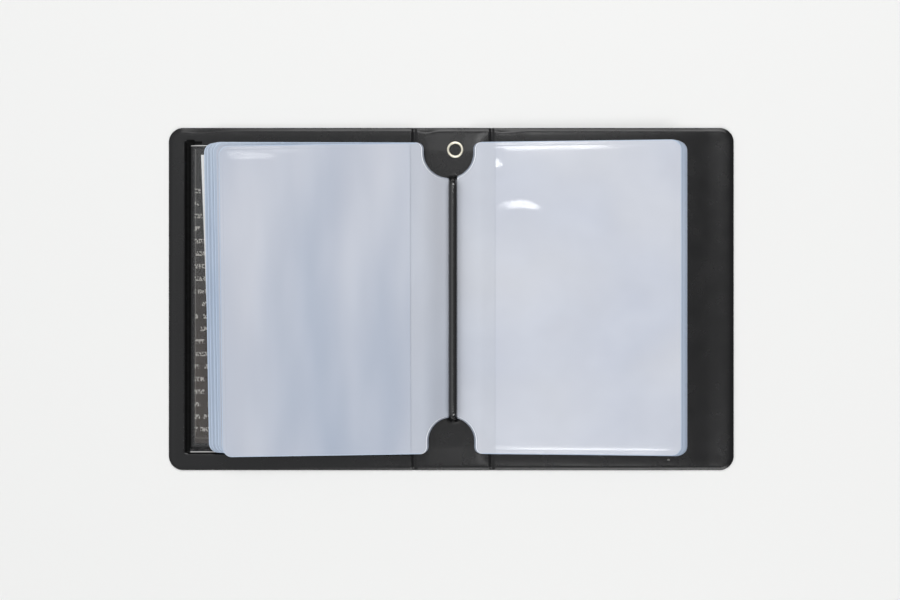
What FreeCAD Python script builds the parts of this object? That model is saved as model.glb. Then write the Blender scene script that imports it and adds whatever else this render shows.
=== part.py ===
import FreeCAD, Part
import math
import os

# Pocket card file, lying open on its back, in millimetres.
# +X runs across the open covers, +Y along the spine towards the eyelet, +Z up out of the pages.
# The origin is under the middle of the open cover, on the surface that it lies on.

# Cover
cover_length = 175.0          # across both covers and the spine, laid open
cover_height = 106.0          # along the spine
cover_corner = 4.4
sheet = 0.45                  # outer vinyl sheet
lining = 0.35                 # inner vinyl sheet
lining_inset = 0.4            # lining edge inside the cover edge
fold_line = 6.0               # cover fold lines, each side of the spine's middle
lining_start = 12.1           # where the two cover linings begin
flap_slit = 0.10              # slit under the right flap
flap_weld = 2.0               # welded border of the right flap

# Spine
spine_lining_half = 5.7
spine_lining_z = 0.85
fold_x = 0.5                  # line that the page sheets fold on, and the cord's line

# Eyelet
eyelet_x = 1.2
eyelet_y = 46.2
eyelet_bore_radius = 1.8
eyelet_wall = 0.3
eyelet_flange_radius = 2.55
eyelet_flange = 0.22
eyelet_bottom = 0.5           # the barrel ends just above the outer sheet
washer_thickness = 0.25
eyelet_clearance = 0.05

# Binding cord
cord_radius = 1.35
cord_z = 3.85                 # centre line over the pages
cord_leg_y = 36.3             # legs that go down into the spine
cord_bend_radius = 2.0
cord_hole_clearance = 0.1
stop_radius = 2.6             # flat discs that hold the cord's ends
stop_thickness = 0.3

# Clear pocket on the left cover
window_left = -82.6
window_right = -14.0
window_bottom = -48.3
window_top = 47.4
window_weld = 1.4
film_over_window = 0.2
window_height = 0.7           # from the lining to the top of the film

# Papers in the clear pocket
leaflet_width = 60.0
leaflet_height = 91.0
leaflet_left = -79.4
leaflet_bottom = -44.6
leaflet_thickness = 0.15
note_width = 54.0
note_height = 86.0
note_thickness = 0.2
note_corner = (-77.4, 44.6)   # its upper left corner
note_tilt = 2.1               # degrees
paper_gap = 0.05

# Pages: sheets folded in the middle, each carrying a pocket on both sides
sheet_count = 6
page_film = 0.2
pocket_film = 0.30
pocket_slit = 0.08
pocket_weld = 1.5
pocket_mouth = 13.1           # from the fold line
page_pitch = 0.60
lowest_page_z = 1.7
page_bottom = -48.4
page_top = 49.0
page_corner = 3.0
page_root = 1.6               # leaf edge beside the cord, from the fold line
left_page_width = 72.4        # top leaf, from the fold line
right_page_width = 71.2
left_page_fan = 0.74          # how much further each lower leaf reaches
right_page_fan = 0.24
notch_depth = 11.6
notch_rise = 3.3              # the notch's sloping stretch beside the cord
notch_radius = 7.5
notch_corner = 2.0
left_notch_top = 8.9          # half widths, from the fold line
left_notch_foot = 7.5
right_notch_top = 6.3
right_notch_foot = 6.5
fold_strip_half = 1.4
fold_strip_end = 34.8
fold_strip_z = 1.25

half_length = cover_length / 2
half_height = cover_height / 2
lining_z = sheet
lining_top = sheet + lining
up = FreeCAD.Vector(0, 0, 1)

os.makedirs("parts", exist_ok=True)


def save(shape, node):
    shape.exportStep("parts/" + node + ".step")


def plan_face(corners, z):
    """A flat face at height z from (x, y, radius) corners, each rounded by its radius."""
    points = [FreeCAD.Vector(x, y, z) for x, y, radius in corners]
    starts = []
    ends = []
    edges = []
    for i, corner in enumerate(points):
        radius = corners[i][2]
        if radius == 0:
            starts.append(corner)
            ends.append(corner)
            continue
        back = (points[i - 1] - corner).normalize()
        ahead = (points[(i + 1) % len(points)] - corner).normalize()
        half_angle = back.getAngle(ahead) / 2
        setback = radius / math.tan(half_angle)
        bisector = (back + ahead).normalize()
        middle = corner + bisector * (radius / math.sin(half_angle) - radius)
        starts.append(corner + back * setback)
        ends.append(corner + ahead * setback)
        edges.append(Part.Arc(starts[i], middle, ends[i]).toShape())
    for i in range(len(points)):
        following = starts[(i + 1) % len(points)]
        if ends[i].distanceToPoint(following) > 1e-6:
            edges.append(Part.LineSegment(ends[i], following).toShape())
    return Part.Face(Part.Wire(Part.__sortEdges__(edges)))


def plate(corners, z, thickness):
    return plan_face(corners, z).extrude(up * thickness)


def rectangle(x0, x1, y0, y1, radius=0):
    return [(x0, y0, radius), (x1, y0, radius), (x1, y1, radius), (x0, y1, radius)]


def disc(x, y, z, radius, thickness):
    return Part.makeCylinder(radius, thickness, FreeCAD.Vector(x, y, z))


def cover_plate(side, inner, inset, z, thickness):
    """Half of the cover from x = inner to its outer edge, with the two outer corners rounded."""
    outer = half_length - inset
    edge = half_height - inset
    radius = cover_corner - inset
    corners = [
        (side * inner, -edge, 0),
        (side * outer, -edge, radius),
        (side * outer, edge, radius),
        (side * inner, edge, 0),
    ]
    return plate(corners, z, thickness)


# Spine: outer sheet, and the lining strip with the holes for the eyelet and the cord
leg_ys = (-cord_leg_y, cord_leg_y)
barrel_radius = eyelet_bore_radius + eyelet_wall
barrel_hole = barrel_radius + eyelet_clearance
spine_lining_top = spine_lining_z + lining

save(plate(rectangle(-fold_line, fold_line, -half_height, half_height), 0, sheet), "spine_panel")

lining_edge = half_height - lining_inset
spine_lining = plate(
    rectangle(-spine_lining_half, spine_lining_half, -lining_edge, lining_edge), spine_lining_z, lining)
for end in (-1, 1):
    weld_outer = end * lining_edge
    weld_inner = end * (lining_edge - flap_weld)
    weld_low, weld_high = sorted((weld_outer, weld_inner))
    weld = plate(rectangle(-spine_lining_half, spine_lining_half, weld_low, weld_high),
                 sheet, spine_lining_z - sheet)
    spine_lining = spine_lining.fuse(weld)
spine_lining = spine_lining.cut(disc(eyelet_x, eyelet_y, spine_lining_z, barrel_hole, lining))
for y in leg_ys:
    hole_radius = cord_radius + cord_hole_clearance
    spine_lining = spine_lining.cut(disc(fold_x, y, spine_lining_z, hole_radius, lining))
save(spine_lining.removeSplitter(), "spine_lining")

# Eyelet: a barrel with a rounded flange, closed under the lining by a washer; the outer sheet is whole
eyelet_top = spine_lining_top + eyelet_flange
barrel = disc(eyelet_x, eyelet_y, eyelet_bottom, barrel_radius, eyelet_top - eyelet_bottom)
flange = disc(eyelet_x, eyelet_y, spine_lining_top, eyelet_flange_radius, eyelet_flange)
flange_rim = [edge for edge in flange.Edges if edge.BoundBox.ZMin > spine_lining_top + 0.01]
flange = flange.makeFillet(eyelet_flange * 0.6, flange_rim)
eyelet_hole = disc(eyelet_x, eyelet_y, eyelet_bottom, eyelet_bore_radius, eyelet_top - eyelet_bottom)
save(barrel.fuse(flange).cut(eyelet_hole).removeSplitter(), "eyelet")
washer_z = spine_lining_z - washer_thickness
washer = disc(eyelet_x, eyelet_y, washer_z, eyelet_flange_radius, washer_thickness)
save(washer.cut(disc(eyelet_x, eyelet_y, washer_z, barrel_radius, washer_thickness)), "eyelet_washer")

# Binding cord: one round cord over the fold of the pages, its two ends held under the lining
bend_y = cord_leg_y - cord_bend_radius
bend_z = cord_z - cord_bend_radius
reach = cord_bend_radius * math.sqrt(0.5)


def at(y, z):
    return FreeCAD.Vector(fold_x, y, z)


cord_path = Part.Wire([
    Part.LineSegment(at(-cord_leg_y, sheet), at(-cord_leg_y, bend_z)).toShape(),
    Part.Arc(at(-cord_leg_y, bend_z), at(-bend_y - reach, bend_z + reach), at(-bend_y, cord_z)).toShape(),
    Part.LineSegment(at(-bend_y, cord_z), at(bend_y, cord_z)).toShape(),
    Part.Arc(at(bend_y, cord_z), at(bend_y + reach, bend_z + reach), at(cord_leg_y, bend_z)).toShape(),
    Part.LineSegment(at(cord_leg_y, bend_z), at(cord_leg_y, sheet)).toShape(),
])
cord_section = Part.Wire(Part.makeCircle(cord_radius, at(-cord_leg_y, sheet), up))
binding_cord = cord_path.makePipeShell([cord_section], True, True)
save(binding_cord, "binding_cord")
section_area = math.pi * cord_radius ** 2
print("cord volume / (section * length):", binding_cord.Volume / (section_area * cord_path.Length))

stops = []
for y in leg_ys:
    stop = disc(fold_x, y, sheet, stop_radius, stop_thickness)
    stops.append(stop.cut(disc(fold_x, y, sheet, cord_radius, stop_thickness)))
save(Part.Compound(stops), "cord_stops")

# Left cover: outer sheet, lining, and a clear pocket that is open at the top
save(cover_plate(-1, fold_line, 0, 0, sheet), "left_cover_panel")
save(cover_plate(-1, lining_start, lining_inset, lining_z, lining), "left_cover_lining")
window_outer = rectangle(window_left, window_right, window_bottom, window_top)
window_space = rectangle(window_left + window_weld, window_right - window_weld,
                         window_bottom + window_weld, window_top)
window_film = plate(window_outer, lining_top, window_height)
window_film = window_film.cut(plate(window_space, lining_top, window_height - film_over_window))
save(window_film, "window_film")

# Right cover: outer sheet and a black flap welded on three sides, open towards the spine
save(cover_plate(1, fold_line, 0, 0, sheet), "right_cover_panel")
flap = cover_plate(1, lining_start, lining_inset, sheet, flap_slit + lining)
slit_edge = lining_edge - flap_weld
slit = rectangle(lining_start, half_length - lining_inset - flap_weld, -slit_edge, slit_edge)
save(flap.cut(plate(slit, sheet, flap_slit)), "right_cover_flap")

# Papers kept in the clear pocket
leaflet_z = lining_top + paper_gap
leaflet = plate(rectangle(leaflet_left, leaflet_left + leaflet_width,
                          leaflet_bottom, leaflet_bottom + leaflet_height), leaflet_z, leaflet_thickness)
save(leaflet, "printed_leaflet")
note_z = leaflet_z + leaflet_thickness + paper_gap
note_x, note_y = note_corner
note = plate(rectangle(note_x, note_x + note_width, note_y - note_height, note_y), note_z, note_thickness)
note.rotate(FreeCAD.Vector(note_x, note_y, 0), up, note_tilt)
save(note, "note_card")


def page_outline(side, width, notch_top, notch_foot):
    """One page seen from above: rounded outer corners, and half of the round notch at each end."""
    def x(distance):
        return fold_x + side * distance
    low_notch = page_bottom + notch_depth
    high_notch = page_top - notch_depth
    return [
        (x(page_root), low_notch, 0),
        (x(notch_foot), low_notch - notch_rise, notch_radius),
        (x(notch_foot), page_bottom, notch_corner),
        (x(width), page_bottom, page_corner),
        (x(width), page_top, page_corner),
        (x(notch_top), page_top, notch_corner),
        (x(notch_top), high_notch + notch_rise, notch_radius),
        (x(page_root), high_notch, 0),
    ]


def pocket(side, width, z):
    """The film that makes a page's pocket: welded on three sides, open towards the fold."""
    mouth = fold_x + side * pocket_mouth
    outer = fold_x + side * width
    corners = [
        (mouth, page_bottom, 0),
        (outer, page_bottom, page_corner),
        (outer, page_top, page_corner),
        (mouth, page_top, 0),
    ]
    inner = outer - side * pocket_weld
    low, high = sorted((mouth, inner))
    slit_space = rectangle(low, high, page_bottom + pocket_weld, page_top - pocket_weld)
    return plate(corners, z, pocket_film).cut(plate(slit_space, z, pocket_slit))


# Sheets: sheet 1 lies on top; each gives a left page, a right page and the fold between them
for number in range(1, sheet_count + 1):
    below = sheet_count - number
    page_z = lowest_page_z + below * page_pitch
    fold_z = fold_strip_z + below * page_film
    left_width = left_page_width + left_page_fan * (number - 1)
    right_width = right_page_width + right_page_fan * (number - 1)
    sides = (
        ("left", -1, left_width, left_notch_top, left_notch_foot),
        ("right", 1, right_width, right_notch_top, right_notch_foot),
    )
    for name, side, width, notch_top, notch_foot in sides:
        outline = page_outline(side, width, notch_top, notch_foot)
        save(plate(outline, page_z, page_film), f"{name}_page_{number}")
        save(pocket(side, width, page_z + page_film), f"{name}_pocket_{number}")
    strip = rectangle(fold_x - fold_strip_half, fold_x + fold_strip_half, -fold_strip_end, fold_strip_end)
    save(plate(strip, fold_z, page_film), f"sheet_fold_{number}")
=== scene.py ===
import bmesh
import bpy
import math
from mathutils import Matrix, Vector, noise


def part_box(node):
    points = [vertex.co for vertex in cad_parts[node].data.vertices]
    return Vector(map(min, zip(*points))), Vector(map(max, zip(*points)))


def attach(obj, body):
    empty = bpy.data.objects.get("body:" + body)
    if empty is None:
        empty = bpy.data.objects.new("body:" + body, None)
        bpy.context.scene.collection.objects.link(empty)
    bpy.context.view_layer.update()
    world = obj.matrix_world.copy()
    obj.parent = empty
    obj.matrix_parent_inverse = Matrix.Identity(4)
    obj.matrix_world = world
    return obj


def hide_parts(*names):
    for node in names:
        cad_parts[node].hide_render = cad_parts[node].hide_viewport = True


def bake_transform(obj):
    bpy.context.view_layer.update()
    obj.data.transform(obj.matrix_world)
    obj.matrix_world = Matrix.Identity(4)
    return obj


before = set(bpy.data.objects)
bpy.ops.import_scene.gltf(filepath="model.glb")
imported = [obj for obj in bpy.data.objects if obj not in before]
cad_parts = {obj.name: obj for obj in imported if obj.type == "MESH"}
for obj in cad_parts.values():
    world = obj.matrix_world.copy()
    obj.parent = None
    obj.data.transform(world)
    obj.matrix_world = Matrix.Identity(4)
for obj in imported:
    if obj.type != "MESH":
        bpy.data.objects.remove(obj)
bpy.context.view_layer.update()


# --- Table, light and camera ------------------------------
# The file lies open on a pale table in a bright room, with broad windows round it and three small
# roof lights that show in the gloss of the films. The camera looks straight down on it.

mm = 0.001
scene = bpy.context.scene
scene.view_settings.view_transform = "Standard"

camera_data = bpy.data.cameras.new("overhead_camera")
camera_data.lens = 70
camera_data.sensor_width = 36
picture_width = 279 * mm
camera = bpy.data.objects.new("overhead_camera", camera_data)
camera_height = picture_width * camera_data.lens / camera_data.sensor_width
camera.location = (-0.4 * mm, -0.3 * mm, camera_height)
scene.collection.objects.link(camera)
scene.camera = camera

# The room is brightest overhead and on the left, and darker towards the horizon. A grade has an
# axis, a span of directions along it, and the strengths at its two ends.
world = bpy.data.worlds.new("bright_room")
world.use_nodes = True
room = world.node_tree
room_direction = room.nodes.new("ShaderNodeSeparateXYZ")
room.links.new(room.nodes.new("ShaderNodeTexCoord").outputs["Generated"],
               room_direction.inputs["Vector"])
overhead = room.nodes.new("ShaderNodeMapRange")
sideways = room.nodes.new("ShaderNodeMapRange")
room_light = room.nodes.new("ShaderNodeMath")
room_light.operation = "MULTIPLY"
for slot_number, (grade, axis, span, strengths) in enumerate((
        (overhead, "Z", (0.35, 0.92), (0.34, 0.80)),
        (sideways, "X", (-0.20, 0.20), (1.22, 0.46)))):
    grade.inputs["From Min"].default_value, grade.inputs["From Max"].default_value = span
    grade.inputs["To Min"].default_value, grade.inputs["To Max"].default_value = strengths
    room.links.new(room_direction.outputs[axis], grade.inputs["Value"])
    room.links.new(grade.outputs["Result"], room_light.inputs[slot_number])
room.nodes["Background"].inputs["Color"].default_value = (0.97, 0.985, 1.0, 1)
room.links.new(room_light.outputs[0], room.nodes["Background"].inputs["Strength"])
scene.world = world


def window_light(name, place, size, power, aimed=True, mirrored=True):
    """A rectangle of light, aimed at the file or straight down. Gloss shows it if mirrored."""
    lamp = bpy.data.lights.new(name, "AREA")
    lamp.shape = "RECTANGLE"
    lamp.size, lamp.size_y = size
    lamp.energy = power
    lamp_object = bpy.data.objects.new(name, lamp)
    lamp_object.location = place
    lamp_object.visible_glossy = mirrored
    if aimed:
        lamp_object.rotation_euler = (-Vector(place)).to_track_quat("-Z", "Y").to_euler()
    scene.collection.objects.link(lamp_object)


window_light("window_beyond_spine", (0.12, 0.62, 0.72), (0.6, 0.32), 3.1)
window_light("window_at_foot", (0.25, -0.75, 0.62), (0.6, 0.2), 2.6)
window_light("window_on_left", (-0.7, 0.0, 0.5), (0.6, 0.4), 0.9, mirrored=False)
window_light("roof_light_right", (0.069, 0.20, 0.85), (0.10, 0.075), 0.31, aimed=False)
window_light("roof_light_left", (-0.16, 0.20, 0.85), (0.05, 0.05), 0.05, aimed=False)
window_light("roof_light_foot", (0.10, -0.20, 0.85), (0.14, 0.04), 0.22, aimed=False)

table_mesh = bpy.data.meshes.new("table_top")
table_half = 1.5
table_corners = [(-1, -1, 0), (1, -1, 0), (1, 1, 0), (-1, 1, 0)]
table_mesh.from_pydata([Vector(c) * table_half for c in table_corners], [], [(0, 1, 2, 3)])
table_top = bpy.data.objects.new("table_top", table_mesh)
scene.collection.objects.link(table_top)
table_paint = bpy.data.materials.new("pale_table")
table_paint.use_nodes = True
table_shader = table_paint.node_tree.nodes["Principled BSDF"]
table_shader.inputs["Base Color"].default_value = (0.880, 0.876, 0.862, 1)
table_shader.inputs["Roughness"].default_value = 0.7
table_mesh.materials.append(table_paint)


# --- Cover ------------------------------------------------
# The cover is a soft black vinyl sheet with a thinner lining, welded together round the edge and
# along a narrow bar each side of the spine. Each half is one piece of vinyl, and the two halves
# meet in the middle of the spine.

_, lining_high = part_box("spine_lining")
cover_low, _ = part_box("left_cover_panel")
cover_half_length = -cover_low.x / mm
cover_half_height = -cover_low.y / mm
spine_top = lining_high.z / mm
cord_low, cord_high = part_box("binding_cord")
fold_x = (cord_low.x + cord_high.x) / 2 / mm
cord_radius = (cord_high.x - cord_low.x) / 2 / mm
cord_end_y = cord_high.y / mm - cord_radius
cover_corner = 4.4
cover_thickness = 0.84        # both sheets of vinyl
cover_seam = -3.0             # where the two halves of vinyl meet, in the middle of the spine
spine_weld = 12.0             # weld bar beside the spine, from the fold
spine_weld_reach = 0.95
spine_weld_depth = 0.36
window_weld_x = -81.6         # the groove that the clear pocket is welded into
window_weld_top = 48.2
window_weld_foot = -47.0
window_weld_spur = -80.2      # the groove turns in a little at its top end
window_weld_reach = 1.3
window_weld_depth = 0.68
window_weld_shade_half = 1.0       # half width of the groove's bottom, painted black as shade
rim_radius = 0.45
rim_start = 0.25              # the inner face rises from here inwards
rim_reach = 0.80
rim_drop = 0.26
round_rims = ((-78.0, 6.0), (-8.0, 2.6), (16.5, 3.2))     # x and half length, along the head
round_rim_gain = 1.1
hollow_x = 79.5               # the right half sags a little beyond the pages
hollow_reach = 4.0
hollow_depth = 0.13
hole_lip = 0.52               # vinyl pushed up round each cord hole


def ease(value):
    """0 below 0 and 1 above 1, with a smooth step between."""
    value = min(1.0, max(0.0, value))
    return value * value * (3 - 2 * value)


def graded(start, *spans):
    """Positions from start through each (end, step) span."""
    places = [start]
    for end, step in spans:
        count = max(1, round(abs(end - places[-1]) / step))
        first = places[-1]
        places += [first + (end - first) * (i + 1) / count for i in range(count)]
    return places


def inside_edge(x, y):
    """How far a point of the cover is from its rounded outline, in mm."""
    past_x = abs(x) - (cover_half_length - cover_corner)
    past_y = abs(y) - (cover_half_height - cover_corner)
    outside = math.hypot(max(past_x, 0), max(past_y, 0)) + min(max(past_x, past_y), 0)
    return cover_corner - outside


def groove(distance, reach, depth):
    """Depth of a pressed weld, deepest along its middle."""
    return depth * (1 - ease(abs(distance) / reach))


def window_weld(x, y):
    """Distance from the middle of the groove round the clear pocket."""
    side = math.hypot(x - window_weld_x, y - min(max(y, window_weld_foot), window_weld_top))
    spur = math.hypot(x - min(max(x, window_weld_x), window_weld_spur), y - window_weld_top)
    foot = math.hypot(x - min(max(x, window_weld_x), -spine_weld), y - window_weld_foot)
    return min(side, spur, foot)


def inner_face(x, y):
    """Height of the cover's inner face."""
    edge = inside_edge(x, y)
    rounder = 1.0
    if y > 0:
        rounder += sum(round_rim_gain * math.exp(-((x - rim_x) / half_length) ** 2)
                       for rim_x, half_length in round_rims)
    turned_down = 1 - ease((edge - rim_start) / (rim_reach * rounder))
    height = cover_thickness - rim_drop * rounder * turned_down
    height -= hollow_depth * math.exp(-((x - hollow_x) / hollow_reach) ** 2)
    height += 0.04 * ease((edge - 0.8) / 1.2) * (1 - ease((edge - 2.2) / 3.4))
    over_spine = 1 - ease((abs(x) - 7.5) / 4.0)
    height += (spine_top - cover_thickness) * over_spine * ease((edge - 0.6) / 7.0)
    height -= groove(abs(x - fold_x) - spine_weld, spine_weld_reach, spine_weld_depth)
    if x < 0:
        pressed_in = groove(window_weld(x, y), window_weld_reach, window_weld_depth)
        height -= pressed_in * ease((edge - 0.8) / 2)
    from_hole = math.hypot(x - fold_x, abs(y) - cord_end_y)
    height += hole_lip * math.exp(-((from_hole - cord_radius - 0.42) / 0.30) ** 2)
    swell = noise.noise(Vector((x / 26, y / 34, 3.1)))
    return height + 0.035 * swell * ease(edge / 3)


def made_piece(name, points, faces, crease=None):
    """An object from points in mm, with its faces turned outwards and shaded smooth."""
    mesh = bpy.data.meshes.new(name)
    mesh.from_pydata([Vector(point) * mm for point in points], [], faces)
    shape = bmesh.new()
    shape.from_mesh(mesh)
    bmesh.ops.recalc_face_normals(shape, faces=shape.faces)
    shape.to_mesh(mesh)
    shape.free()
    mesh.shade_smooth()
    if crease:
        mesh.set_sharp_from_angle(angle=math.radians(crease))
    piece = bpy.data.objects.new(name, mesh)
    scene.collection.objects.link(piece)
    return piece


def closed_sheet(name, upper, lower, zone=None, edge_finish=0):
    """A closed sheet between two grids of points in mm, bordered in edge_finish.

    zone(row, column) numbers the finish of each face.
    """
    rows = len(upper)
    columns = len(upper[0])
    points = [p for row in upper for p in row] + [p for row in lower for p in row]
    under = rows * columns
    faces = []
    finishes = []
    for i in range(rows - 1):
        for j in range(columns - 1):
            a = i * columns + j
            face = (a, a + 1, a + columns + 1, a + columns)
            faces.append(face)
            faces.append(tuple(under + corner for corner in reversed(face)))
            finishes += [zone(i, j) if zone else 0] * 2
    border = list(range(columns))
    border += [i * columns + columns - 1 for i in range(1, rows)]
    border += [(rows - 1) * columns + j for j in range(columns - 2, -1, -1)]
    border += [i * columns for i in range(rows - 2, 0, -1)]
    for a, b in zip(border, border[1:] + border[:1]):
        faces.append((b, a, under + a, under + b))
    finishes += [edge_finish] * len(border)
    piece = made_piece(name, points, faces, crease=50)
    for face, finish in zip(piece.data.polygons, finishes):
        face.material_index = finish
    return piece


def cover_vinyl(name, side, inner_x):
    """One half of the cover, from its outer edge to inner_x, with a rounded rim."""
    edge_lip = 0.06
    reach = cover_half_length - side * inner_x
    edge_steps = [0, 0.03, 0.09, 0.18, 0.30, rim_radius]
    columns = edge_steps + graded(0.7, (3.4, 0.45), (8.2, 0.24), (72.0, 2.2), (78.0, 0.3),
                                  (83.0, 0.6), (reach, 0.3))
    lower_rows = edge_steps + graded(0.7, (3.4, 0.45), (7.4, 0.26), (14, 1.2), (19.4, 0.27))
    from_middle = cover_half_height - lower_rows[-1]
    middle_rows = graded(-from_middle, (from_middle, 2.4))[1:-1]
    rows = [r - cover_half_height for r in lower_rows] + middle_rows
    rows += [cover_half_height - r for r in reversed(lower_rows)]
    upper = []
    lower = []
    for y in rows:
        past = max(0.0, abs(y) - (cover_half_height - cover_corner))
        cut = cover_corner - math.sqrt(max(0.0, cover_corner ** 2 - past ** 2))
        upper_row = []
        lower_row = []
        for column in columns:
            x = side * (cover_half_length - column - cut * max(0.0, 1 - column / 14))
            edge = max(0.0, inside_edge(x, y))
            rim = 1 - min(1.0, edge / rim_radius)
            roundness = math.sqrt(1 - rim * rim) if rim < 1 else 0.0
            top = inner_face(x, y)
            middle = top * 0.45
            upper_row.append((x, y, middle + edge_lip + (top - middle - edge_lip) * roundness))
            lower_row.append((x, y, (middle - edge_lip) * (1 - roundness)))
        upper.append(upper_row)
        lower.append(lower_row)

    # Faces along the groove's bottom take the second finish, the groove's painted shade.
    def pressed(i, j):
        x, y, _ = upper[i][j]
        return 1 if side < 0 and window_weld(x, y) < window_weld_shade_half else 0

    return closed_sheet(name, upper, lower, pressed)


def effect_group(name, inputs, outputs):
    """A shared shader effect. Outputs are (name, type), and inputs have a default as third."""
    group = bpy.data.node_groups.new(name, "ShaderNodeTree")
    for socket_name, kind, value in inputs:
        socket = group.interface.new_socket(socket_name, in_out="INPUT", socket_type=kind)
        socket.default_value = value
    for socket_name, kind in outputs:
        group.interface.new_socket(socket_name, in_out="OUTPUT", socket_type=kind)
    return group, group.nodes.new("NodeGroupInput"), group.nodes.new("NodeGroupOutput")


def join(tree, source, target):
    tree.links.new(source, target)


def mathematics(tree, operation, *values):
    """A maths node whose inputs are numbers or sockets, and its result."""
    node = tree.nodes.new("ShaderNodeMath")
    node.operation = operation
    for slot_number, value in enumerate(values):
        if isinstance(value, (int, float)):
            node.inputs[slot_number].default_value = value
        else:
            tree.links.new(value, node.inputs[slot_number])
    return node.outputs[0]


def noise_texture(tree, scale, detail, coordinates, roughness=0.5):
    texture = tree.nodes.new("ShaderNodeTexNoise")
    texture.inputs["Scale"].default_value = scale
    texture.inputs["Detail"].default_value = detail
    texture.inputs["Roughness"].default_value = roughness
    tree.links.new(coordinates, texture.inputs["Vector"])
    return texture.outputs["Fac"]


def remap(tree, value, low, high, to_low, to_high):
    node = tree.nodes.new("ShaderNodeMapRange")
    node.inputs["From Min"].default_value = low
    node.inputs["From Max"].default_value = high
    node.inputs["To Min"].default_value = to_low
    node.inputs["To Max"].default_value = to_high
    tree.links.new(value, node.inputs["Value"])
    return node.outputs["Result"]


# Handling marks, used by every vinyl and film: fine haze, and a few specks of lint.
handled, handled_in, handled_out = effect_group(
    "handled_surface",
    [("Haze Scale", "NodeSocketFloat", 180.0), ("Lint", "NodeSocketFloat", 0.012)],
    [("Haze", "NodeSocketFloat"), ("Lint", "NodeSocketFloat")])
handled_place = handled.nodes.new("ShaderNodeTexCoord").outputs["Object"]
haze = handled.nodes.new("ShaderNodeTexNoise")
haze.inputs["Detail"].default_value = 5
join(handled, handled_place, haze.inputs["Vector"])
join(handled, handled_in.outputs["Haze Scale"], haze.inputs["Scale"])
join(handled, haze.outputs["Fac"], handled_out.inputs["Haze"])
specks = handled.nodes.new("ShaderNodeTexVoronoi")
specks.inputs["Scale"].default_value = 95
join(handled, handled_place, specks.inputs["Vector"])
speck_size = handled.nodes.new("ShaderNodeTexNoise")
speck_size.inputs["Scale"].default_value = 40
join(handled, handled_place, speck_size.inputs["Vector"])
speck_reach = mathematics(handled, "MULTIPLY", handled_in.outputs["Lint"],
                          mathematics(handled, "GREATER_THAN", speck_size.outputs["Fac"], 0.60))
speck_mask = mathematics(handled, "LESS_THAN", specks.outputs["Distance"], speck_reach)
join(handled, speck_mask, handled_out.inputs["Lint"])


def place_effect(tree, group, **values):
    node = tree.nodes.new("ShaderNodeGroup")
    node.node_tree = group
    for key, value in values.items():
        node.inputs[key.replace("_", " ")].default_value = value
    return node


def new_finish(name):
    """A fresh material, its node tree, its Principled shader and its own coordinates."""
    finish = bpy.data.materials.new(name)
    finish.use_nodes = True
    tree = finish.node_tree
    coordinates = tree.nodes.new("ShaderNodeTexCoord").outputs["Object"]
    return finish, tree, tree.nodes["Principled BSDF"], coordinates


def mix_colours(tree, factor, first, second):
    """A colour between two, each a colour or a socket, as factor goes from 0 to 1."""
    node = tree.nodes.new("ShaderNodeMix")
    node.data_type = "RGBA"
    tree.links.new(factor, node.inputs["Factor"])
    for socket, colour in ((node.inputs[6], first), (node.inputs[7], second)):
        if isinstance(colour, tuple):
            socket.default_value = (*colour, 1)
        else:
            tree.links.new(colour, socket)
    return node.outputs[2]


def bump(tree, shader, height, strength, distance):
    node = tree.nodes.new("ShaderNodeBump")
    node.inputs["Strength"].default_value = strength
    node.inputs["Distance"].default_value = distance
    tree.links.new(height, node.inputs["Height"])
    tree.links.new(node.outputs["Normal"], shader.inputs["Normal"])


black_vinyl, tree, shader, place = new_finish("black_vinyl")
marks = place_effect(tree, handled, Haze_Scale=160.0, Lint=0.05)
vinyl_cloud = noise_texture(tree, 22, 3, place)
vinyl_black = mix_colours(tree, vinyl_cloud, (0.0055, 0.0054, 0.0058), (0.0095, 0.0092, 0.0096))
join(tree, mix_colours(tree, marks.outputs["Lint"], vinyl_black, (0.22, 0.22, 0.21)),
     shader.inputs["Base Color"])
join(tree, remap(tree, marks.outputs["Haze"], 0.3, 0.7, 0.20, 0.30), shader.inputs["Roughness"])
shader.inputs["IOR"].default_value = 1.41
grain = noise_texture(tree, 2600, 2, place)
bump(tree, shader, grain, 0.12, 0.00002)

# The groove is smoother than the sheet beside it, and painted darker with a weak reflection:
# painted shade for the deep groove.
groove_shade_vinyl, tree, shader, place = new_finish("groove_shade_vinyl")
groove_shade_cloud = noise_texture(tree, 300, 3, place)
join(tree, mix_colours(tree, groove_shade_cloud, (0.003, 0.003, 0.003), (0.006, 0.006, 0.006)),
     shader.inputs["Base Color"])
join(tree, remap(tree, groove_shade_cloud, 0.3, 0.7, 0.22, 0.34), shader.inputs["Roughness"])
shader.inputs["Specular IOR Level"].default_value = 0.05

left_vinyl = cover_vinyl("left_cover_vinyl", -1, cover_seam)
right_vinyl = cover_vinyl("right_cover_and_spine_vinyl", 1, cover_seam)
for piece in (left_vinyl, right_vinyl):
    piece.data.materials.append(black_vinyl)
    piece.data.materials.append(groove_shade_vinyl)


def bore_out(piece, x, y, radius, bottom):
    """Cuts a round blind hole down to bottom, in mm, into a piece's upper face."""
    drill_length = 4
    cutter_mesh = bpy.data.meshes.new("hole")
    cutter_shape = bmesh.new()
    bmesh.ops.create_cone(cutter_shape, cap_ends=True, segments=64, radius1=radius * mm,
                          radius2=radius * mm, depth=drill_length * mm)
    cutter_shape.to_mesh(cutter_mesh)
    cutter_shape.free()
    cutter = bpy.data.objects.new("hole", cutter_mesh)
    cutter.location = (x * mm, y * mm, (bottom + drill_length / 2) * mm)
    scene.collection.objects.link(cutter)
    cut = piece.modifiers.new("hole", "BOOLEAN")
    cut.operation = "DIFFERENCE"
    cut.object = cutter
    cut.solver = "EXACT"
    bpy.context.view_layer.update()
    evaluated = piece.evaluated_get(bpy.context.evaluated_depsgraph_get())
    bored = bpy.data.meshes.new_from_object(evaluated)
    piece.modifiers.remove(cut)
    piece.data = bored
    bpy.data.objects.remove(cutter)


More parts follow.
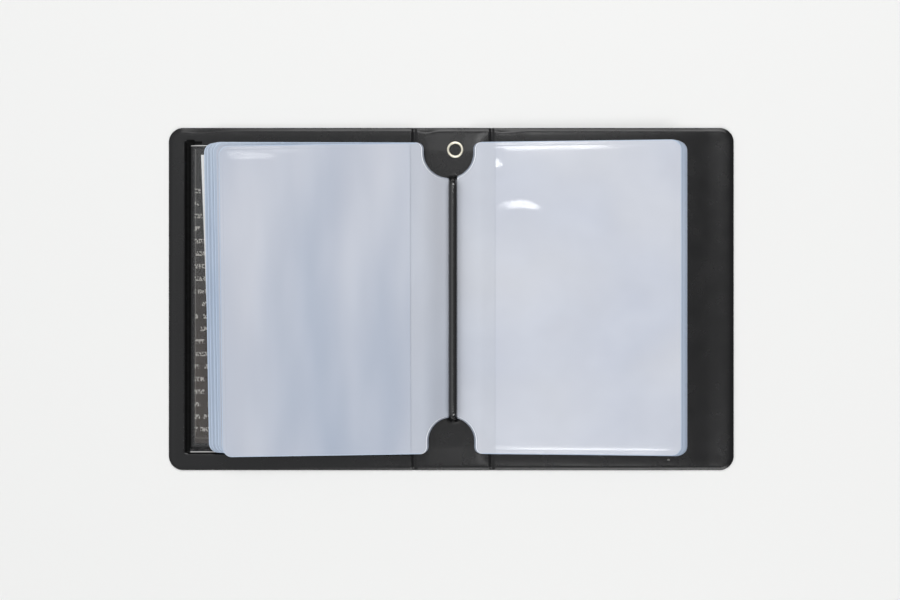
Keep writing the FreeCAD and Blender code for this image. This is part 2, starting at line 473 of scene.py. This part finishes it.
eyelet_low, eyelet_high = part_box("eyelet")
eyelet_x = (eyelet_low.x + eyelet_high.x) / 2 / mm
eyelet_y = (eyelet_low.y + eyelet_high.y) / 2 / mm
outer_sheet_top = 0.46
barrel_hole = 2.15
cord_hole_room = 0.12
bore_out(right_vinyl, eyelet_x, eyelet_y, barrel_hole, outer_sheet_top)
for end in (-1, 1):
    bore_out(right_vinyl, fold_x, end * cord_end_y, cord_radius + cord_hole_room, outer_sheet_top)

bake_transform(left_vinyl)
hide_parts("left_cover_panel", "left_cover_lining")
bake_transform(right_vinyl)
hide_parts("right_cover_panel", "right_cover_flap", "spine_panel", "spine_lining")


# --- Eyelet -----------------------------------------------
# A small pressed eyelet of pale brass sheet: its flange is rolled over the spine's lining and its
# barrel goes through it, with a flat washer clinched on underneath.

eyelet_bore = 1.8
barrel_wall = 0.28
barrel_seat = spine_top - 0.03
eyelet_rim = (eyelet_high.x - eyelet_low.x) / 2 / mm
eyelet_top = eyelet_high.z / mm
eyelet_foot = eyelet_low.z / mm


def turned(name, profile, x, y, segments=96):
    """A closed ring turned about an upright axis at x, y, from its (radius, height) profile."""
    points = []
    faces = []
    count = len(profile)
    for step in range(segments):
        angle = 2 * math.pi * step / segments
        for radius, height in profile:
            points.append((x + radius * math.cos(angle), y + radius * math.sin(angle), height))
    for step in range(segments):
        following = (step + 1) % segments
        for i in range(count):
            j = (i + 1) % count
            faces.append((step * count + i, following * count + i,
                          following * count + j, step * count + j))
    return made_piece(name, points, faces)


flange_middle = (eyelet_bore + eyelet_rim) / 2
flange_half = (eyelet_rim - eyelet_bore) / 2
flange_height = eyelet_top - spine_top
flange_steps = 12
eyelet_profile = [(eyelet_bore + barrel_wall, eyelet_foot), (eyelet_bore, eyelet_foot)]
for step in range(flange_steps + 1):
    angle = math.pi * (1 - step / flange_steps)
    eyelet_profile.append((flange_middle + flange_half * math.cos(angle),
                           eyelet_top - flange_height * (1 - math.sin(angle))))
eyelet_profile += [(eyelet_rim, barrel_seat), (eyelet_bore + barrel_wall, barrel_seat)]
eyelet_ring = turned("eyelet_ring", eyelet_profile, eyelet_x, eyelet_y)

pale_brass, tree, shader, place = new_finish("pale_brass")
marks = place_effect(tree, handled, Haze_Scale=900.0, Lint=0.0)
join(tree, mix_colours(tree, marks.outputs["Haze"], (0.84, 0.78, 0.62), (0.92, 0.88, 0.76)),
     shader.inputs["Base Color"])
shader.inputs["Metallic"].default_value = 1.0
join(tree, remap(tree, marks.outputs["Haze"], 0.3, 0.7, 0.34, 0.46), shader.inputs["Roughness"])
eyelet_ring.data.materials.append(pale_brass)
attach(eyelet_ring, "spine")
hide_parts("eyelet")


def refinish(node_name, finish):
    """Gives a finish to a node that keeps its CAD shape."""
    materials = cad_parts[node_name].data.materials
    materials.clear()
    materials.append(finish)


refinish("eyelet_washer", pale_brass)


# --- Binding cord -----------------------------------------
# One glossy black moulded cord lies over the fold of the page sheets. Its two ends turn down
# through the spine's lining, and a flat stop under the lining holds each of them.

cord_top = cord_high.z / mm
cord_foot = cord_low.z / mm
cord_centre_z = cord_top - cord_radius
cord_bend = 2.0
bend_steps = 10
cord_slack = 0.03             # how far the cord wanders from straight


def cord_line():
    """Points (y, z) along the middle of the cord, from one end to the other."""
    bend_y = cord_end_y - cord_bend
    bend_z = cord_centre_z - cord_bend
    foot_end = [(-cord_end_y, cord_foot), (-cord_end_y, (cord_foot + bend_z) / 2)]
    for step in range(bend_steps + 1):
        angle = math.pi * (1 - 0.5 * step / bend_steps)
        foot_end.append((-bend_y + cord_bend * math.cos(angle),
                         bend_z + cord_bend * math.sin(angle)))
    straight = [(y, cord_centre_z) for y in graded(-bend_y, (bend_y, 2.4))[1:-1]]
    head_end = [(-y, z) for y, z in reversed(foot_end)]
    return foot_end + straight + head_end


def tube_faces(rings, around):
    """Faces of a tube of rings, closed at both ends."""
    faces = [tuple(reversed(range(around))), tuple(range((rings - 1) * around, rings * around))]
    for i in range(rings - 1):
        for step in range(around):
            a = i * around + step
            b = i * around + (step + 1) % around
            faces.append((a, b, b + around, a + around))
    return faces


def cord_tube(name, line, radius, around=40):
    """A round tube in the plane x = fold_x that follows a line of (y, z) points."""
    points = []
    for i, (y, z) in enumerate(line):
        before = line[max(0, i - 1)]
        after = line[min(len(line) - 1, i + 1)]
        along = Vector((0, after[0] - before[0], after[1] - before[1])).normalized()
        across = Vector((1, 0, 0))
        up = across.cross(along)
        slack = cord_slack * noise.noise(Vector((0.7, y / 9, 1.3)))
        for step in range(around):
            angle = 2 * math.pi * step / around
            offset = (across * math.cos(angle) + up * math.sin(angle)) * (radius - abs(slack))
            points.append(Vector((fold_x + slack, y, z)) + offset)
    return made_piece(name, points, tube_faces(len(line), around), crease=60)


glossy_cord, tree, shader, place = new_finish("glossy_cord")
marks = place_effect(tree, handled, Haze_Scale=420.0, Lint=0.03)
join(tree, mix_colours(tree, marks.outputs["Lint"], (0.0045, 0.0045, 0.005), (0.2, 0.2, 0.2)),
     shader.inputs["Base Color"])
join(tree, remap(tree, marks.outputs["Haze"], 0.3, 0.7, 0.12, 0.24), shader.inputs["Roughness"])
shader.inputs["IOR"].default_value = 1.75
bump(tree, shader, noise_texture(tree, 500, 2, place), 0.10, 0.00004)
moulded_cord = cord_tube("moulded_cord", cord_line(), cord_radius)
moulded_cord.data.materials.append(glossy_cord)
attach(moulded_cord, "spine")
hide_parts("binding_cord")

stop_plastic, tree, shader, place = new_finish("stop_plastic")
join(tree, remap(tree, noise_texture(tree, 700, 3, place), 0.3, 0.7, 0.42, 0.60),
     shader.inputs["Roughness"])
shader.inputs["Base Color"].default_value = (0.016, 0.016, 0.017, 1)
refinish("cord_stops", stop_plastic)


# --- Clear pocket on the left cover -----------------------
# A thin clear film is welded to the left cover along its outer side, its foot and beside the
# spine. It stands over the papers with a sloping bevel at the welds, and is open at the top.

film_low, film_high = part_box("window_film")
film_left = film_low.x / mm + 1.85     # the film shows from its weld inwards
film_right = film_high.x / mm
film_foot = film_low.y / mm + 1.0
film_mouth = film_high.y / mm
film_roof = film_high.z / mm
clear_thickness = 0.13
weld_floor = 0.55
rim_bead = 0.13


def clear_film_height(x, y):
    """Height of the film's upper face: bevels rise from three welds to a nearly flat roof."""
    left_bevel = ease((x - film_left) / 1.3)
    right_bevel = ease((film_right - 0.4 - x) / 1.6)
    foot_bevel = ease((y - film_foot - 0.7) / 1.5)
    swell = noise.noise(Vector((x / 13, y / 21, 7.7)))
    roof = film_roof - 0.07 + 0.04 * swell
    return weld_floor + (roof - weld_floor) * min(left_bevel, right_bevel, foot_bevel)


film_columns = graded(film_left, (film_left + 3, 0.2), (film_right - 3, 2.4), (film_right, 0.25))
film_rows = graded(film_foot, (film_foot + 3.2, 0.2), (film_mouth - 2, 2.4), (film_mouth, 0.25))
film_top = [[(x, y, clear_film_height(x, y)) for x in film_columns] for y in film_rows]
film_under = [[(x, y, z - clear_thickness) for x, y, z in row] for row in film_top]
clear_pocket = closed_sheet("clear_pocket_film", film_top, film_under)

# Nearly invisible but for its gloss, so a low alpha carries a strong reflection.
clear_film, tree, shader, place = new_finish("clear_film")
marks = place_effect(tree, handled, Haze_Scale=70.0, Lint=0.06)
join(tree, mix_colours(tree, marks.outputs["Lint"], (0.06, 0.06, 0.065), (0.9, 0.9, 0.9)),
     shader.inputs["Base Color"])
join(tree, remap(tree, marks.outputs["Haze"], 0.3, 0.7, 0.05, 0.13), shader.inputs["Roughness"])
shader.inputs["IOR"].default_value = 2.2
shader.inputs["Specular IOR Level"].default_value = 0.9
lint_veil = mathematics(tree, "MULTIPLY", marks.outputs["Lint"], 0.5)
haze_veil = remap(tree, marks.outputs["Haze"], 0.3, 0.75, 0.055, 0.085)
join(tree, mathematics(tree, "ADD", haze_veil, lint_veil), shader.inputs["Alpha"])
clear_pocket.data.materials.append(clear_film)
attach(clear_pocket, "left_cover")
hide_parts("window_film")

# The film's cut edge at the mouth and at the foot is a thin bead painted pale: a painted highlight
# along the rim.
rim_highlight_finish, tree, shader, place = new_finish("film_edge_highlight")
rim_highlight_cloud = noise_texture(tree, 300, 2, place)
join(tree, mix_colours(tree, rim_highlight_cloud, (0.50, 0.49, 0.48), (0.85, 0.84, 0.82)),
     shader.inputs["Base Color"])
shader.inputs["Roughness"].default_value = 0.2


def film_rim(name, line, radius, around=8):
    """A thin bead of film along a line of (x, y, z) points in mm."""
    points = []
    for i, point in enumerate(line):
        before = Vector(line[max(0, i - 1)])
        after = Vector(line[min(len(line) - 1, i + 1)])
        along = (after - before).normalized()
        across = along.cross(Vector((0, 0, 1))).normalized()
        up = across.cross(along)
        for step in range(around):
            angle = 2 * math.pi * step / around
            offset = (across * math.cos(angle) + up * math.sin(angle)) * radius
            points.append(Vector(point) + offset)
    return made_piece(name, points, tube_faces(len(line), around))


mouth_line = [(x, film_mouth, clear_film_height(x, film_mouth) - 0.05)
              for x in graded(film_left + 0.2, (film_left + 1.8, 0.2), (film_right - 1.6, 1.5))]
foot_line = [(x, film_foot, 0.80) for x in graded(film_left, (film_right, 1.5))]
for name, line in (("pocket_mouth_rim", mouth_line), ("pocket_foot_rim", foot_line)):
    rim = film_rim(name, line, rim_bead)
    rim.data.materials.append(rim_highlight_finish)
    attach(rim, "left_cover")


# --- Papers in the clear pocket ---------------------------
# A dark printed leaflet fills the pocket, with rows of small cream marks inside a fine border.
# A plain white card lies over it, a little askew. Both slide out at the pocket's mouth.

leaflet_low, leaflet_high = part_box("printed_leaflet")
note_low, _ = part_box("note_card")


def paper_sheet(name, corners, bottom, thickness, step, curl, seed):
    """A thin sheet of paper on four corners in mm, with a slight wave."""
    (x0, y0), (x1, y1), (x2, y2), (x3, y3) = corners
    across = graded(0, (1, step))
    upper = []
    for v in across:
        row = []
        for u in across:
            x = (1 - v) * ((1 - u) * x0 + u * x1) + v * ((1 - u) * x3 + u * x2)
            y = (1 - v) * ((1 - u) * y0 + u * y1) + v * ((1 - u) * y3 + u * y2)
            wave = curl * (0.5 + 0.5 * noise.noise(Vector((x / 30, y / 30, seed))))
            row.append((x, y, bottom + thickness + wave))
        upper.append(row)
    under = [[(x, y, z - thickness) for x, y, z in row] for row in upper]
    return closed_sheet(name, upper, under)


leaflet_box = [(x / mm, y / mm) for x, y in (
    (leaflet_low.x, leaflet_low.y), (leaflet_high.x, leaflet_low.y),
    (leaflet_high.x, leaflet_high.y), (leaflet_low.x, leaflet_high.y))]
leaflet = paper_sheet("printed_leaflet_sheet", leaflet_box, leaflet_low.z / mm,
                      thickness=0.10, step=0.05, curl=0.04, seed=2.0)

# Rows of small blots that stand for lines of print: broken strokes in groups, never letters.
row_offset = 0.52
row_foot, row_head = 0.31, 0.66               # the blots' part of the row pitch
shift_step, shift_reach = 12.9, 3.7           # each row starts at another place in a word
shortest_word, word_spread = 0.60, 0.34       # in parts of the word pitch
stroke_across, stroke_along = 2.1, 1.15       # strokes in a mm
print_rows, print_in, print_out = effect_group(
    "printed_rows",
    [("Row Pitch", "NodeSocketFloat", 3.88), ("Word", "NodeSocketFloat", 5.6)],
    [("Ink", "NodeSocketFloat")])
print_place = print_rows.nodes.new("ShaderNodeTexCoord").outputs["Object"]
print_split = print_rows.nodes.new("ShaderNodeSeparateXYZ")
join(print_rows, print_place, print_split.inputs["Vector"])


def printed(operation, *values):
    return mathematics(print_rows, operation, *values)


x_mm = printed("DIVIDE", print_split.outputs["X"], mm)
y_mm = printed("DIVIDE", print_split.outputs["Y"], mm)
row_place = printed("DIVIDE", printed("SUBTRACT", y_mm, row_offset), print_in.outputs["Row Pitch"])
row_number = printed("FLOOR", row_place)
row_height = printed("FRACT", row_place)
row_turn = printed("SINE", printed("MULTIPLY", row_number, shift_step))
row_shift = printed("MULTIPLY", row_turn, shift_reach)
word_place = printed("ADD", printed("DIVIDE", x_mm, print_in.outputs["Word"]), row_shift)
word_across = printed("FRACT", word_place)
word_key = print_rows.nodes.new("ShaderNodeCombineXYZ")
join(print_rows, printed("FLOOR", word_place), word_key.inputs["X"])
join(print_rows, row_number, word_key.inputs["Y"])
chance_node = print_rows.nodes.new("ShaderNodeTexWhiteNoise")
join(print_rows, word_key.outputs["Vector"], chance_node.inputs["Vector"])
word_length = printed("ADD", shortest_word,
                      printed("MULTIPLY", chance_node.outputs["Value"], word_spread))
word = printed("LESS_THAN", word_across, word_length)
stroke_place = print_rows.nodes.new("ShaderNodeCombineXYZ")
join(print_rows, printed("MULTIPLY", x_mm, stroke_across), stroke_place.inputs["X"])
join(print_rows, printed("MULTIPLY", y_mm, stroke_along), stroke_place.inputs["Y"])
strokes = printed("GREATER_THAN",
                  noise_texture(print_rows, 1.0, 1, stroke_place.outputs["Vector"]), 0.50)
foot = printed("GREATER_THAN", row_height, row_foot)
head = printed("LESS_THAN", row_height, row_head)
ink = printed("MULTIPLY", printed("MULTIPLY", strokes, word), printed("MULTIPLY", foot, head))
join(print_rows, ink, print_out.inputs["Ink"])

dark_print, tree, shader, place = new_finish("dark_printed_paper")
rows_node = place_effect(tree, print_rows)
split = tree.nodes.new("ShaderNodeSeparateXYZ")
join(tree, place, split.inputs["Vector"])
from_left = mathematics(tree, "SUBTRACT", split.outputs["X"], leaflet_low.x)
from_foot = mathematics(tree, "SUBTRACT", split.outputs["Y"], leaflet_low.y)
border_width = 0.12 * mm
border_x = 0.28 * mm
border_y = 1.6 * mm
border_strength = 0.28
print_foot = 2.4 * mm
print_head = 80.0 * mm
border_left = mathematics(tree, "COMPARE", from_left, border_x, border_width)
border_foot = mathematics(tree, "COMPARE", from_foot, border_y, border_width)
above_foot = mathematics(tree, "GREATER_THAN", from_foot, border_y)
inside_left = mathematics(tree, "GREATER_THAN", from_left, border_x)
border = mathematics(tree, "MAXIMUM", mathematics(tree, "MULTIPLY", border_left, above_foot),
                     mathematics(tree, "MULTIPLY", border_foot, inside_left))
print_area = mathematics(tree, "MULTIPLY",
                         mathematics(tree, "GREATER_THAN", from_foot, print_foot),
                         mathematics(tree, "LESS_THAN", from_foot, print_head))
cream = mathematics(tree, "MAXIMUM", mathematics(tree, "MULTIPLY", border, border_strength),
                    mathematics(tree, "MULTIPLY", rows_node.outputs["Ink"], print_area))
wood_cloud = noise_texture(tree, 60, 6, place, 0.7)
brown = mix_colours(tree, wood_cloud, (0.016, 0.012, 0.009), (0.050, 0.033, 0.022))
grey = mix_colours(tree, wood_cloud, (0.009, 0.009, 0.009), (0.021, 0.020, 0.019))
lower_half = remap(tree, split.outputs["Y"], -30 * mm, 25 * mm, 1.0, 0.0)
ground = mix_colours(tree, lower_half, grey, brown)
join(tree, mix_colours(tree, cream, ground, (0.38, 0.365, 0.335)), shader.inputs["Base Color"])
shader.inputs["Roughness"].default_value = 0.55
leaflet.data.materials.append(dark_print)
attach(leaflet, "leaflet")
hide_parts("printed_leaflet")

# The card's corners, from the box around it and its tilt.
note_tilt = math.radians(2.1)
note_width = 54.0
note_height = 86.0
across = Vector((math.cos(note_tilt), math.sin(note_tilt)))
along = Vector((-math.sin(note_tilt), math.cos(note_tilt)))
note_foot = Vector((note_low.x / mm + note_height * math.sin(note_tilt), note_low.y / mm))
note_corners = [tuple(note_foot), tuple(note_foot + across * note_width),
                tuple(note_foot + across * note_width + along * note_height),
                tuple(note_foot + along * note_height)]
white_note = paper_sheet("white_note_card", note_corners, note_low.z / mm,
                         thickness=0.14, step=0.05, curl=0.05, seed=5.0)
white_card, tree, shader, place = new_finish("white_card")
card_fibre = noise_texture(tree, 1400, 4, place)
join(tree, mix_colours(tree, card_fibre, (0.86, 0.86, 0.86), (0.93, 0.93, 0.92)),
     shader.inputs["Base Color"])
shader.inputs["Roughness"].default_value = 0.5
bump(tree, shader, card_fibre, 0.1, 0.00003)
white_note.data.materials.append(white_card)
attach(white_note, "note")
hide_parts("note_card")


# --- Pages ------------------------------------------------
# Six sheets of thin milky vinyl are folded under the cord. Each half is a page, with a second film
# welded to it on three sides as a card pocket that is open towards the fold.

page_film_thickness = 0.13
pocket_film_thickness = 0.11
page_head = 48.15             # page ends, beside the fold
page_foot = -47.5
page_corner = 3.0
gutter = 9.0                  # how far from the fold a page has risen to its full height
root_gap = 1.32               # page edge beside the cord, from the fold
weld_width = 0.95
weld_bead = 0.065             # film squeezed up along the weld's inner side
bead_reach = 0.20
cut_edge = 0.22
eyelet_notch = (-0.8, 45.0, 7.6)     # x and y of its centre, and its radius
foot_notch = (0.0, -43.7, 7.1)
notch_corner = 2.0
notch_step = 0.25             # each lower leaf's notch is this much smaller, down to the third
notch_depth = 11.3
notch_columns = 4             # narrow mesh columns beside each page's inner edge
top_leaf_short = 1.0          # the top leaf stops short of the ones below it
# The fifth finish paints a shade line along the notch edges.
# The fourth finish paints a highlight along the notch edges.
plain, welded, cut_border, painted_highlight, painted_shade_line = range(5)     # finishes of the page films
film_ripples = (              # x, y, half length, half width, height, bend
    (20.8, 29.2, 8.2, 3.4, 0.27, 2.4),
    (13.9, 41.7, 2.0, 3.0, 0.18, 0.0),
    (-62.5, 43.8, 9.0, 1.7, 0.10, 0.4),
    (-24.0, -42.6, 9.0, 1.5, -0.07, 0.3),
)


def round_cut(from_end, radius):
    """How far a rounded corner takes an edge back, at a distance from the page's end."""
    inside = max(0.0, radius - from_end)
    return radius - math.sqrt(max(0.0, radius ** 2 - inside ** 2))


class Leaf:
    """One half of a sheet: its sizes from the CAD solids, and how it lies in the stack."""

    def __init__(self, side_name, number):
        page_low, page_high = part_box(f"{side_name}_page_{number}")
        pocket_low, pocket_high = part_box(f"{side_name}_pocket_{number}")
        strip_low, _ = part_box(f"sheet_fold_{number}")
        self.side = -1 if side_name == "left" else 1
        self.number = number
        self.name = side_name
        outer = page_low.x if self.side < 0 else page_high.x
        mouth = pocket_high.x if self.side < 0 else pocket_low.x
        self.width = abs(outer / mm - fold_x)
        self.mouth = abs(mouth / mm - fold_x)
        self.z = page_low.z / mm
        self.fold_z = strip_low.z / mm
        uneven = number * 5 % 3          # 0, 1 or 2, so the leaves don't line up
        self.width -= 0.18 * uneven if number > 1 else top_leaf_short
        # A page's outer end spreads, and shifts to the head, by these mm. It leans by this slope.
        self.flare = 0.8 if self.side > 0 else 0.0
        self.lean = 0.0 if self.side > 0 else 0.0165
        self.shift = 0.12 * (uneven - 1)
        if self.side < 0:
            self.shift += 0.15
            if number == 1:
                self.lean = 0.0135
                self.shift = -1.1

    def place(self, distance, y):
        """The real x and y of a point at a distance from the fold."""
        out = distance / self.width
        x = fold_x + self.side * (distance + self.lean * y * out)
        return x, y + out * (self.shift + self.flare * y / page_head)

    def level(self, distance, y):
        """Height of the page film's underside."""
        rise = ease(distance / gutter)
        wide = noise.noise(Vector((distance / 24, y / 33, self.number * 3.7 + self.side)))
        return self.fold_z + (self.z - self.fold_z) * rise + 0.03 * wide * rise

    def inside(self, distance, y):
        """How far a point is from the leaf's outer edge and ends."""
        across = page_corner - (self.width - distance)
        along = page_corner - min(page_head - y, y - page_foot)
        outside = math.hypot(max(across, 0), max(along, 0)) + min(max(across, along), 0)
        return page_corner - outside

    def inner_edge(self, y):
        """Distance of the page's inner edge from the fold: beside the cord, or round a notch."""
        centre_x, centre_y, radius = eyelet_notch if y > 0 else foot_notch
        radius += notch_step * max(0, 3 - self.number)
        from_end = page_head - y if y > 0 else y - page_foot
        rise = max(0.0, abs(centre_y) - abs(y))
        if rise >= radius:
            return root_gap
        round_edge = self.side * (centre_x - fold_x) + math.sqrt(radius ** 2 - rise ** 2)
        return max(root_gap, round_edge) + round_cut(from_end, notch_corner)

    def rows(self, step):
        """Places of the mesh rows, closer together at the ends and round the notches."""
        from_end = graded(0, (0.24, 0.12), (1.9, 0.24), (3.3, 0.35), (notch_depth - 2.2, 0.6),
                          (notch_depth + 0.8, 0.16), (notch_depth + 2.4, 0.5))
        lower = [page_foot + r for r in from_end]
        upper = [page_head - r for r in reversed(from_end)]
        return lower + graded(lower[-1], (upper[0], step))[1:-1] + upper

    def column_cut(self, column, y):
        """Moves a column back from the leaf's rounded outer corners."""
        from_end = min(page_head - y, y - page_foot)
        return column - round_cut(from_end, page_corner) * max(0.0, 1 - (self.width - column) / 10)

    def finish_number(self, distance, y):
        """The finish of a point: the cut edge, the weld round the pocket, or the film."""
        inside = self.inside(distance, y)
        if inside < cut_edge:
            return cut_border
        return welded if inside < weld_width and distance > self.mouth else plain


def page_mesh(leaf):
    """A page's film, notched round the eyelet and curved down to the fold."""
    notch_strip = notch_columns * 0.15
    columns = graded(root_gap, (root_gap + notch_strip, 0.15), (6.0, 0.45), (15.0, 1.2),
                     (leaf.width - 4, 3.2), (leaf.width - 0.24, 0.36), (leaf.width, 0.12))
    rows = leaf.rows(3.0)
    spread = 22
    flat = []
    for y in rows:
        moved = leaf.inner_edge(y) - root_gap
        shares = [max(0.0, 1 - (column - root_gap) / spread) for column in columns]
        flat.append([leaf.column_cut(column + moved * share, y)
                     for column, share in zip(columns, shares)])
    upper = []
    for y, distances in zip(rows, flat):
        upper.append([(*leaf.place(d, y), leaf.level(d, y) + page_film_thickness)
                      for d in distances])
    under = [[(x, y, z - page_film_thickness) for x, y, z in row] for row in upper]

    def zone(i, j):
        from_end = min(page_head - rows[i], rows[i] - page_foot)
        # Along a notch, the top leaf's edge is a painted highlight with a painted shade line
        # inside it, and the lower leaves' edges are painted shade lines.
        if j < notch_columns and from_end < notch_depth:
            if leaf.number == 1:
                return painted_highlight if j < notch_columns - 1 else painted_shade_line
            return painted_shade_line if j < 2 else plain
        distance = (flat[i][j] + flat[i][j + 1]) / 2
        return leaf.finish_number(distance, (rows[i] + rows[i + 1]) / 2)

    return closed_sheet(f"{leaf.name}_page_film_{leaf.number}", upper, under, zone, cut_border)


def pocket_rise(leaf, distance, y):
    """How full the pocket stands over its page, with the bead along its weld."""
    from_weld = leaf.inside(distance, y) - weld_width
    rise = weld_bead * math.exp(-(from_weld / bead_reach) ** 2)
    if leaf.number > 1:
        return rise + 0.10 * ease(from_weld / 1.6)
    if from_weld > 0:
        rise += 0.11 * (1 - math.exp(-from_weld / 1.2))
    narrow = noise.noise(Vector((distance / 9, y / 15, 5.1 - leaf.side)))
    rise += 0.015 * narrow * ease(from_weld / 5)
    x, real_y = leaf.place(distance, y)
    for ripple_x, ripple_y, half_length, half_width, height, bend in film_ripples:
        if ripple_x * leaf.side > 0:
            along = (x - ripple_x) / half_length
            across = (real_y - ripple_y + bend * along ** 2) / half_width
            rise -= height * across * math.exp(-along ** 4 - across ** 2)
    return rise


def pocket_mesh(leaf):
    """A pocket's film: pressed flat at its welds, slightly full between them."""
    step = 0.8 if leaf.number == 1 else 2.6
    columns = graded(leaf.mouth, (leaf.mouth + 4, step / 2), (leaf.width - 5, step),
                     (leaf.width - 0.24, 0.24), (leaf.width, 0.12))
    rows = leaf.rows(step)
    seat = page_film_thickness + 0.01
    flat = [[leaf.column_cut(column, y) for column in columns] for y in rows]
    upper = []
    for y, distances in zip(rows, flat):
        upper.append([(*leaf.place(d, y), leaf.level(d, y) + seat + pocket_film_thickness
                       + pocket_rise(leaf, d, y)) for d in distances])
    under = [[(x, y, z - pocket_film_thickness) for x, y, z in row] for row in upper]

    def zone(i, j):
        distance = (flat[i][j] + flat[i][j + 1]) / 2
        return leaf.finish_number(distance, (rows[i] + rows[i + 1]) / 2)

    return closed_sheet(f"{leaf.name}_pocket_film_{leaf.number}", upper, under, zone, cut_border)


# Milkiness of the vinyl, used by every page film: wide soft clouds of a second tint and of white.
milky, milky_in, milky_out = effect_group(
    "milky_clouds",
    [("Across", "NodeSocketFloat", 34.0), ("Along", "NodeSocketFloat", 15.0)],
    [("Clouds", "NodeSocketFloat"), ("Pale", "NodeSocketFloat")])
milky_place = milky.nodes.new("ShaderNodeTexCoord").outputs["Object"]
milky_stretch = milky.nodes.new("ShaderNodeCombineXYZ")
join(milky, milky_in.outputs["Across"], milky_stretch.inputs["X"])
join(milky, milky_in.outputs["Along"], milky_stretch.inputs["Y"])
stretched = milky.nodes.new("ShaderNodeVectorMath")
stretched.operation = "MULTIPLY"
join(milky, milky_place, stretched.inputs[0])
join(milky, milky_stretch.outputs["Vector"], stretched.inputs[1])
tint_cloud = noise_texture(milky, 1.0, 2, stretched.outputs["Vector"], 0.4)
join(milky, tint_cloud, milky_out.inputs["Clouds"])
pale_cloud = noise_texture(milky, 2.1, 2, stretched.outputs["Vector"], 0.4)
join(milky, pale_cloud, milky_out.inputs["Pale"])


def milky_finish(name, cloud, ground, alpha, **clouds_set):
    """Milky film: wide clouds of one tint in another."""
    finish, tree, shader, place = new_finish(name)
    clouds = place_effect(tree, milky, **clouds_set)
    marks = place_effect(tree, handled, Haze_Scale=60.0, Lint=0.03)
    tint = remap(tree, clouds.outputs["Clouds"], 0.32, 0.68, 0.0, 1.0)
    body = mix_colours(tree, tint, ground, cloud)
    veil = remap(tree, clouds.outputs["Pale"], 0.42, 0.72, 0.0, 0.16)
    join(tree, mix_colours(tree, veil, body, (0.76, 0.78, 0.83)), shader.inputs["Base Color"])
    join(tree, remap(tree, marks.outputs["Haze"], 0.3, 0.7, 0.07, 0.13),
         shader.inputs["Roughness"])
    join(tree, remap(tree, clouds.outputs["Pale"], 0.3, 0.7, alpha - 0.03, alpha + 0.03),
         shader.inputs["Alpha"])
    shader.inputs["IOR"].default_value = 1.5
    return finish


# The right films are paler and less blue than the left ones: painted light, for the right page lit
# more brightly. Their different clouds are the vinyl's own tone.
left_film_shaded = milky_finish("left_milky_vinyl_shaded", (0.620, 0.645, 0.720), (0.460, 0.518, 0.632), 0.87,
                         Across=38.0, Along=9.0)
left_page_film_shaded = milky_finish("left_page_vinyl_shaded", (0.525, 0.565, 0.650), (0.620, 0.640, 0.700),
                              0.87)
right_film_lit = milky_finish("right_milky_vinyl_lit", (0.635, 0.670, 0.765), (0.715, 0.735, 0.795), 0.87,
                          Across=26.0, Along=30.0)
right_page_film_lit = milky_finish("right_page_vinyl_lit", (0.610, 0.643, 0.725), (0.675, 0.695, 0.750),
                               0.87, Across=26.0, Along=30.0)
welded_film = milky_finish("welded_vinyl", (0.45, 0.54, 0.68), (0.52, 0.60, 0.72), 0.74)
film_edge = milky_finish("cut_vinyl_edge", (0.50, 0.60, 0.75), (0.58, 0.67, 0.79), 0.92)
# A dark film: painted shade lines along the notch edges.
notch_shade_film = milky_finish("notch_shade_vinyl", (0.30, 0.34, 0.42), (0.36, 0.40, 0.47), 0.80)
# A white film: the painted highlight along the notch edges.
notch_highlight_film = milky_finish("notch_highlight_vinyl", (0.84, 0.87, 0.93), (0.90, 0.91, 0.94), 0.96)

fold_nodes = [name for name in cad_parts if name.startswith("sheet_fold_")]
for fold_name in fold_nodes:
    refinish(fold_name, left_film_shaded)
for side_name, single_film, double_film in (("left", left_page_film_shaded, left_film_shaded),
                                             ("right", right_page_film_lit, right_film_lit)):
    for number in range(1, len(fold_nodes) + 1):
        leaf = Leaf(side_name, number)
        body = f"{side_name}_leaf_{number}"
        page = page_mesh(leaf)
        pocket_film = pocket_mesh(leaf)
        for piece, slot, film in ((page, "page_film", single_film),
                                  (pocket_film, "pocket_film", double_film)):
            weld = double_film if number == 1 else welded_film
            outer_edge = welded_film if side_name == "right" and number > 1 else film_edge
            for finish in (film, weld, outer_edge, notch_highlight_film, notch_shade_film):
                piece.data.materials.append(finish)
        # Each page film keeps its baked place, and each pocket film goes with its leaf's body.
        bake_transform(page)
        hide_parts(f"{side_name}_page_{number}")
        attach(pocket_film, body)
        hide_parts(f"{side_name}_pocket_{number}")
